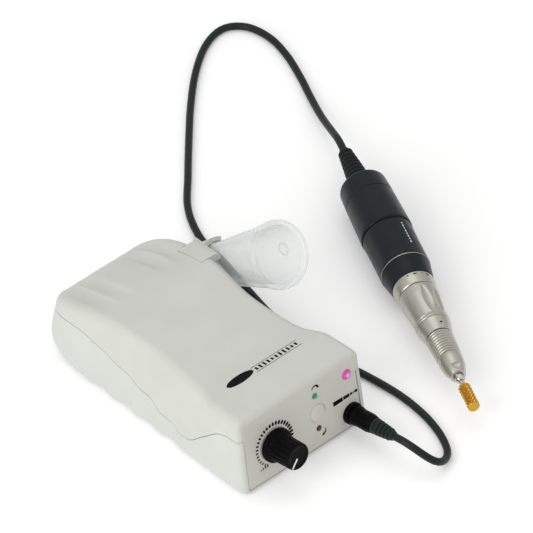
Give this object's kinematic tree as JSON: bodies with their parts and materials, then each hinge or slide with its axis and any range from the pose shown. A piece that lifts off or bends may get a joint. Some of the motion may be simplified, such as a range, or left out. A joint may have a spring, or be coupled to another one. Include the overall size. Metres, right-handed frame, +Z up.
{
  "type": "electric nail drill",
  "caption": "Portable electric nail drill: grey control unit with speed knob, direction button and lamps, clear cradle cup, and a turned micromotor handpiece on a black lead.",
  "frame": {"origin": "middle of the control unit and handpiece as they stand on a table, at table height", "axes": "+Z up, -Y out of the front panel, +X towards the side on which the handpiece lies"},
  "size_m": [0.2502, 0.3246, 0.0627],
  "materials": {
    "upper_shell": "fine moulded texture, warm white",
    "lower_shell": "fine moulded texture, cool white",
    "panel_grey": "fine matt texture, warm light grey",
    "black_plastic": "satin black",
    "button_white": "satin white",
    "clear_cup": "clear moulded acrylic",
    "black_rubber": "soft black",
    "lead_jacket": "smooth glossy black jacket",
    "barrel_black": "satin blue-black coating",
    "satin_nickel": "satin turned metal",
    "bright_steel": "bright turned steel",
    "gold_burr": "gold coloured cross-cut coating",
    "shaft_alloy": "turned",
    "steel_can": "drawn steel",
    "magnet": "sintered, dark grey",
    "copper": "lacquered copper",
    "brass": "turned brass",
    "board_green": "solder mask",
    "battery_wrap": "shrink wrap",
    "lamp_green": "tinted lens",
    "lamp_red": "tinted lens, unlit",
    "lamp_pink": "tinted lens"
  },
  "bodies": {
    "root": {"battery_pack": "battery_wrap", "charge_inlet": "black_plastic", "control_board": "board_green", "direction_switch": "black_plastic", "forward_lamp": "lamp_green", "front_motor_bearing": "bright_steel", "front_panel": "panel_grey", "front_sleeve": "barrel_black", "front_spindle_bearing": "bright_steel", "handpiece_boot": "black_rubber", "handpiece_cord": "lead_jacket", "handpiece_socket": "black_plastic", "housing_screw_1": "bright_steel", "housing_screw_2": "bright_steel", "housing_screw_3": "bright_steel", "housing_screw_4": "bright_steel", "index_ring": "satin_nickel", "lower_housing": "lower_shell", "motor_brush_1": "magnet", "motor_brush_2": "magnet", "motor_can": "steel_can", "motor_sleeve": "barrel_black", "neck_sleeve": "satin_nickel", "nose_cap": "satin_nickel", "nose_tube": "bright_steel", "plug_body": "black_plastic", "plug_boot": "black_rubber", "plug_pin": "bright_steel", "potentiometer_nut": "bright_steel", "power_board": "board_green", "power_lamp": "lamp_pink", "rear_cap": "barrel_black", "rear_motor_bearing": "bright_steel", "rear_spindle_bearing": "bright_steel", "reverse_lamp": "lamp_red", "ribbed_grip": "satin_nickel", "rubber_foot_1": "black_rubber", "rubber_foot_2": "black_rubber", "rubber_foot_3": "black_rubber", "rubber_foot_4": "black_rubber", "socket_nut": "black_plastic", "speed_potentiometer": "bright_steel", "stator_magnet": "magnet", "upper_housing": "upper_shell"},
    "speed_knob": {"speed_knob": "black_plastic", "potentiometer_shaft": "shaft_alloy"},
    "direction_button": {"direction_button": "button_white"},
    "cradle": {"cradle_bracket": "upper_shell", "cradle_cup": "clear_cup"},
    "twist_sleeve": {"twist_sleeve": "satin_nickel"},
    "push_ring": {"chuck_push_ring": "brass"},
    "rotor": {"armature": "copper", "commutator": "copper", "motor_shaft": "bright_steel", "motor_coupling": "brass"},
    "spindle": {"spindle": "bright_steel", "collet": "bright_steel", "burr_shank": "bright_steel", "burr_head": "gold_burr"}
  },
  "joints": [
    {"name": "speed_knob_turn", "type": "hinge", "parent": "root", "child": "speed_knob", "pos_m": [-0.0807, -0.05409, 0.02095], "axis": [0, 0.9877, -0.1564], "range_deg": [0, 300]},
    {"name": "direction_button_press", "type": "slide", "parent": "root", "child": "direction_button", "axis": [0, 0.9877, -0.1564], "range_m": [0, 0.001], "stiffness_N_per_m": 700, "springref_m": -0.0015},
    {"name": "cradle_lift", "type": "slide", "parent": "root", "child": "cradle", "axis": [0, 0, 1], "range_m": [0, 0.012]},
    {"name": "chuck_twist", "type": "hinge", "parent": "root", "child": "twist_sleeve", "pos_m": [0.04638, -0.03013, 0.01405], "axis": [-0.421, -0.907, 0], "range_deg": [0, 60]},
    {"name": "push_ring_slide", "type": "slide", "parent": "root", "child": "push_ring", "axis": [-0.421, -0.907, 0], "range_m": [0, 0.0012]},
    {"name": "rotor_spin", "type": "hinge", "parent": "root", "child": "rotor", "pos_m": [0.07206, 0.0252, 0.01405], "axis": [-0.421, -0.907, 0], "continuous": true},
    {"name": "spindle_spin", "type": "hinge", "parent": "root", "child": "spindle", "pos_m": [0.03838, -0.04737, 0.01405], "axis": [-0.421, -0.907, 0], "continuous": true}
  ],
  "couplings": [
    {"joint": "push_ring_slide", "follows": "chuck_twist", "m_per_rad": 0.00114},
    {"joint": "spindle_spin", "follows": "rotor_spin", "ratio": 1}
  ]
}
